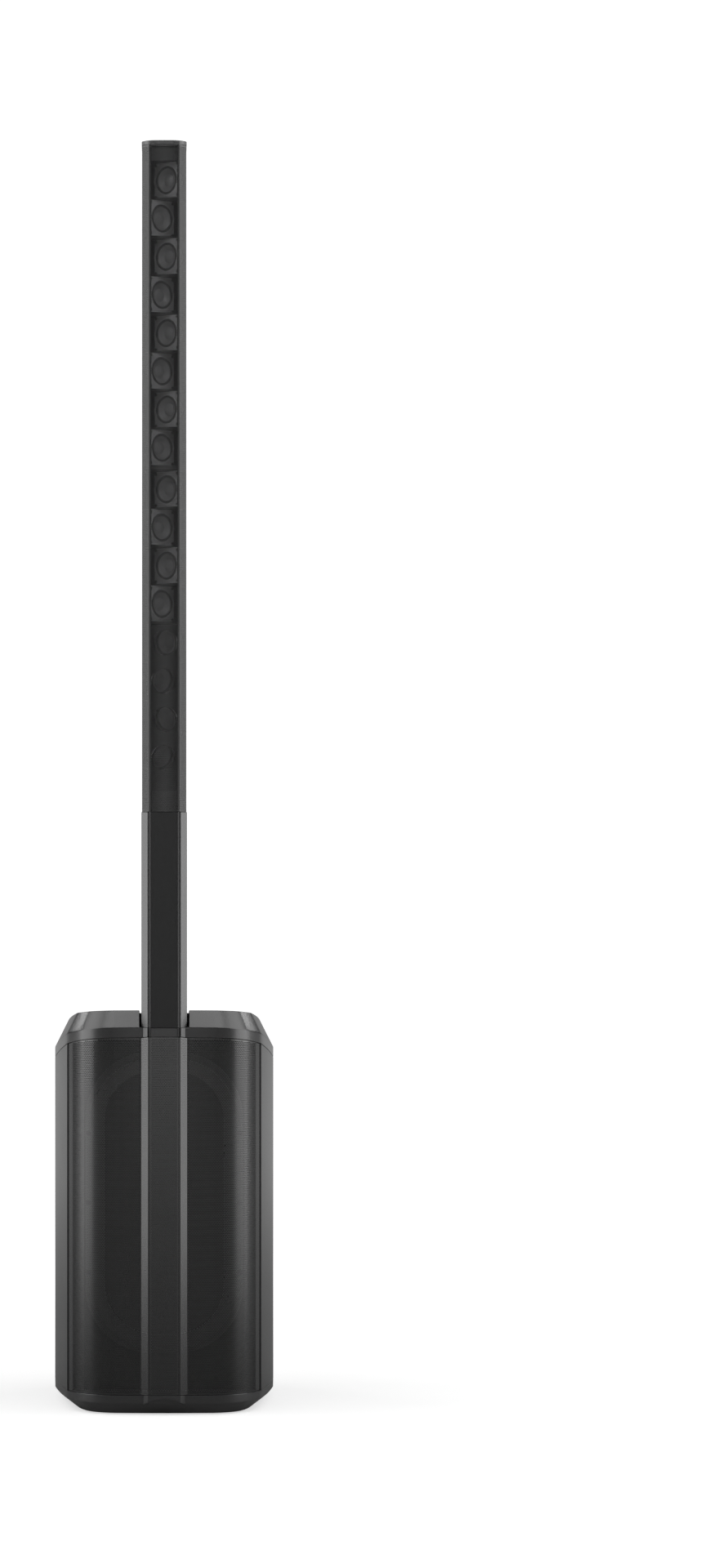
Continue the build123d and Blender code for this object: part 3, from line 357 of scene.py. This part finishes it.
# ======================================================================= perforated grilles
def arc_through(start, middle, end, steps):
    """Points along the circle through three plan points, without the last one."""
    (ax, ay), (bx, by), (cx, cy) = start, middle, end
    cross = 2 * (ax * (by - cy) + bx * (cy - ay) + cx * (ay - by))
    a2, b2, c2 = ax * ax + ay * ay, bx * bx + by * by, cx * cx + cy * cy
    ux = (a2 * (by - cy) + b2 * (cy - ay) + c2 * (ay - by)) / cross
    uy = (a2 * (cx - bx) + b2 * (ax - cx) + c2 * (bx - ax)) / cross
    radius = math.hypot(ax - ux, ay - uy)
    first = math.atan2(ay - uy, ax - ux)
    sweep = math.remainder(math.atan2(by - uy, bx - ux) - first, math.tau)
    sweep += math.remainder(math.atan2(cy - uy, cx - ux) - first - sweep, math.tau)
    return [(ux + radius * math.cos(first + sweep * i / steps),
             uy + radius * math.sin(first + sweep * i / steps)) for i in range(steps)]


def punched_panel(path, low, high, pitch, hole, margin):
    """Punched sheet over one stretch of plan path, as welded vertices and faces.

    The holes are staggered.  low(y) and high(y) bound the panel; cells nearer than margin to an
    edge stay solid, and cells that cross an edge are cut back to it.
    """
    path = np.array(path)
    run = np.concatenate([[0], np.cumsum(np.hypot(*np.diff(path, axis=0).T))])
    length = run[-1]
    corner_r = pitch / math.sqrt(3)
    columns = int(length / pitch) + 3
    left = (length - (columns - 1.5) * pitch) / 2
    bottom = min(low(path[0, 1]), low(path[-1, 1]))
    top = max(high(path[0, 1]), high(path[-1, 1]), high(path[len(path) // 2, 1]))
    rows = int((top - bottom) / (1.5 * corner_r)) + 3
    row, column = np.meshgrid(np.arange(rows), np.arange(columns), indexing="ij")
    row, column = row.ravel(), column.ravel()
    key_s = 2 * column + row % 2
    key_z = 3 * row

    def spot(ks, kz):
        return left + ks * pitch / 2, bottom + kz * corner_r / 2

    centre_s, centre_z = spot(key_s, key_z)
    centre_y = np.interp(centre_s, run, path[:, 1])
    ceiling = high(centre_y)
    ground = low(centre_y)
    reach = corner_r
    kept = ((centre_s > -reach) & (centre_s < length + reach)
            & (centre_z > ground - reach) & (centre_z < ceiling + reach))
    open_cell = ((centre_s > margin) & (centre_s < length - margin)
                 & (centre_z > ground + margin) & (centre_z < ceiling - margin))[kept]
    key_s, key_z = key_s[kept], key_z[kept]
    centre_s, centre_z = centre_s[kept], centre_z[kept]
    offsets = np.array([(1, 1), (0, 2), (-1, 1), (-1, -1), (0, -2), (1, -1)])
    ks = key_s[:, None] + offsets[:, 0]
    kz = key_z[:, None] + offsets[:, 1]
    keys, index = np.unique(np.stack([ks.ravel(), kz.ravel()], 1), axis=0, return_inverse=True)
    corner = index.reshape(-1, 6)
    corner_s, corner_z = spot(keys[:, 0], keys[:, 1])
    angles = np.radians(30 + 60 * np.arange(6))
    rim_s = centre_s[open_cell, None] + hole * np.cos(angles)
    rim_z = centre_z[open_cell, None] + hole * np.sin(angles)
    rim = len(corner_s) + np.arange(rim_s.size).reshape(-1, 6)
    s = np.clip(np.concatenate([corner_s, rim_s.ravel()]), 0, length)
    z = np.concatenate([corner_z, rim_z.ravel()])
    x = np.interp(s, run, path[:, 0])
    y = np.interp(s, run, path[:, 1])
    z = np.clip(z, low(y), high(y))
    quads = []
    for k in range(6):
        after = (k + 1) % 6
        around = corner[open_cell]
        quads.append(np.stack([around[:, k], around[:, after], rim[:, after], rim[:, k]], 1))
    faces = np.concatenate(quads).tolist() + corner[~open_cell].tolist()
    return np.stack([x, y, z], 1), faces


def plain_panel(path, low, high):
    """Unpunched sheet over one stretch of plan path."""
    points = []
    for x, y in path:
        points += [(x, y, low(y)), (x, y, high(y))]
    faces = [(2 * i, 2 * i + 2, 2 * i + 3, 2 * i + 1) for i in range(len(path) - 1)]
    return np.array(points), faces


def sheet_piece(name, panels, paint):
    """One piece from several panels, cleaned of the slivers that cutting back leaves."""
    verts = []
    faces = []
    for points, loops in panels:
        base = len(verts)
        verts += points.tolist()
        faces += [[base + i for i in loop] for loop in loops]
    mesh = bpy.data.meshes.new(name)
    mesh.from_pydata(verts, [], faces)
    work = bmesh.new()
    work.from_mesh(mesh)
    bmesh.ops.remove_doubles(work, verts=work.verts, dist=2e-5)
    bmesh.ops.dissolve_degenerate(work, edges=work.edges, dist=2e-5)
    work.to_mesh(mesh)
    work.free()
    mesh.materials.append(paint)
    piece = bpy.data.objects.new(name, mesh)
    bpy.context.collection.objects.link(piece)
    return piece


# Plan of the base grille in metres: its crown, its right half out to the crease, the sunk hem
# at the crease, and the raised strip with its splayed ribs.
FRONT_CROWN_Y = -0.221
PLAN = [(0.080, -0.218), (0.108, -0.2086), (0.131, -0.191), (0.1439, -0.1718),
        (0.1545, -0.151)]
HEM_X = 0.147
HEM_SINK = 0.0019
STRIP_HALF = 0.036
STRIP_FACE = 0.026
STRIP_RISE = 0.0084
SEAM_SLOPE = 0.172
CHEEK_MARGIN = 0.0014
BASE_PITCH = 0.0027
ARRAY_PITCH = 0.0024

# Corner radius of the six-sided holes, as a part of the pitch.
SIDE_HOLE = 0.38
STRIP_HOLE = 0.27
RIB_HOLE = 0.25
ARRAY_HOLE = 0.41
CHEEK_HOLE = 0.3


def mirrored(path):
    """The same plan path on the other side, kept running left to right."""
    return [(-x, y) for x, y in reversed(path)]


def make_base_grille():
    """Left and right halves, and the raised strip between them with its plain grooves."""
    low_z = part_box("base_grille")[0].z
    seam_z = 0.5959

    def low(y):
        return low_z + 0 * y

    def high(y):
        return seam_z - SEAM_SLOPE * (y - FRONT)

    crown = arc_through((-PLAN[0][0], PLAN[0][1]), (0, FRONT_CROWN_Y), PLAN[0], 40)
    side = [(STRIP_HALF, FRONT + STRIP_RISE)]
    side += [p for p in crown if p[0] > STRIP_HALF + 0.001]
    side += arc_through(PLAN[0], PLAN[1], PLAN[2], 14)
    turn = arc_through(PLAN[2], PLAN[3], PLAN[4], 20)
    edge = [p for p in turn if p[0] < HEM_X]
    hem = [(x - HEM_SINK * 0.87, y + HEM_SINK * 0.5) for x, y in turn if x >= HEM_X]
    side += edge
    fold = [edge[-1]] + hem
    cheek = [(STRIP_FACE, FRONT), (STRIP_HALF, FRONT + STRIP_RISE)]
    groove_out = 0.0245
    groove_in = 0.0225
    groove_y = FRONT + 0.002
    lip = [(groove_out, FRONT), (STRIP_FACE, FRONT)]
    groove = [(groove_in, FRONT), (groove_in + 0.0004, groove_y), (groove_out - 0.0004, groove_y),
              (groove_out, FRONT)]
    middle = [(-groove_in, FRONT), (groove_in, FRONT)]
    for suffix, flip in (("right", False), ("left", True)):
        path = mirrored(side) if flip else side
        back = mirrored(fold) if flip else fold
        panels = [punched_panel(path, low, high, BASE_PITCH, SIDE_HOLE * BASE_PITCH, 0.002),
                  plain_panel(back, low, high)]
        piece = sheet_piece("base_grille_" + suffix, panels, finish["grille_steel"])
        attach(piece, "cabinet")
        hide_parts("base_grille")
    panels = [punched_panel(middle, low, high, BASE_PITCH, STRIP_HOLE * BASE_PITCH, 0.002)]
    for flip in (list, mirrored):
        panels.append(punched_panel(flip(cheek), low, high, BASE_PITCH, RIB_HOLE * BASE_PITCH,
                                    CHEEK_MARGIN))
        panels.append(plain_panel(flip(lip), low, high))
        panels.append(plain_panel(flip(groove), low, high))
    piece = sheet_piece("base_grille_strip", panels, finish["grille_steel"])
    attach(piece, "cabinet")
    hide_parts("base_grille")


def make_array_grille():
    """Open middle sheet, finer holes on the splayed cheeks, and plain grooves between them."""
    low_corner, high_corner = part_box("array_grille")
    half = 0.035
    cheek_y = FRONT + 0.016
    face = 0.024

    def low(y):
        return low_corner.z + 0 * y

    def high(y):
        return high_corner.z + 0 * y

    groove_y = FRONT + 0.0034
    back = [(half, cheek_y), (half, cheek_y + 0.0027)]
    cheek = [(face, FRONT + 0.001), (half, cheek_y)]
    groove = [(face - 0.0024, FRONT + 0.0008), (face - 0.002, groove_y),
              (face - 0.0007, groove_y), (face, FRONT + 0.001)]
    middle = arc_through((-groove[0][0], groove[0][1]), (0, FRONT), groove[0], 12)
    middle.append(groove[0])
    panels = [punched_panel(middle, low, high, ARRAY_PITCH, ARRAY_HOLE * ARRAY_PITCH, 0.0015)]
    for flip in (list, mirrored):
        panels.append(punched_panel(flip(cheek), low, high, ARRAY_PITCH, CHEEK_HOLE * ARRAY_PITCH,
                                    CHEEK_MARGIN))
        panels.append(plain_panel(flip(back), low, high))
        panels.append(plain_panel(flip(groove), low, high))
    piece = sheet_piece("array_grille_sheet", panels, finish["grille_steel"])
    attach(piece, "array")
    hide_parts("array_grille")


make_base_grille()
make_array_grille()


# ======================================================================= woofer gasket
def racetrack(half_width, half_height, steps=48):
    """Points of an upright racetrack round the middle, in x and z."""
    points = []
    straight = half_height - half_width
    for end in (1, -1):
        for i in range(steps):
            turn = math.pi * i / (steps - 1)
            points.append((end * half_width * math.cos(turn),
                           end * (straight + half_width * math.sin(turn))))
    return points


def make_gasket():
    """Three moulded beads of the pressed gasket that clamps the edge of the woofer's surround."""
    low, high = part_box("woofer_surround")
    mid_z = (low.z + high.z) / 2
    half_width = (high.x - low.x) / 2
    half_height = (high.z - low.z) / 2
    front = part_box("woofer_basket")[0].y
    data = bpy.data.curves.new("woofer_gasket", "CURVE")
    data.dimensions = "3D"
    data.bevel_depth = 0.0011
    data.bevel_resolution = 3
    for out in (0.001, 0.0045, 0.008):
        points = racetrack(half_width + out, half_height + out)
        line = data.splines.new("POLY")
        line.points.add(len(points) - 1)
        for point, (x, z) in zip(line.points, points):
            point.co = (x, front, mid_z + z, 1)
        line.use_cyclic_u = True
    piece = bpy.data.objects.new("woofer_gasket", data)
    bpy.context.collection.objects.link(piece)
    data.materials.append(finish["surround_rubber"])
    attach(piece, "cabinet")


make_gasket()


# ======================================================================= hand well
def make_well_wall():
    """Front wall of the hand well below the grip. In CAD the cover's rear slot cuts it open."""
    low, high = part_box("handle_grip")
    half_x = 0.0615
    y = 0.1262
    bottom = 0.5385
    top = (low.z + high.z) / 2
    mesh = bpy.data.meshes.new("hand_well_wall")
    mesh.from_pydata([(-half_x, y, bottom), (half_x, y, bottom), (half_x, y, top),
                      (-half_x, y, top)], [], [(0, 1, 2, 3)])
    piece = bpy.data.objects.new("hand_well_wall", mesh)
    bpy.context.collection.objects.link(piece)
    mesh.materials.append(finish["cover_plastic"])
    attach(piece, "cabinet")


make_well_wall()
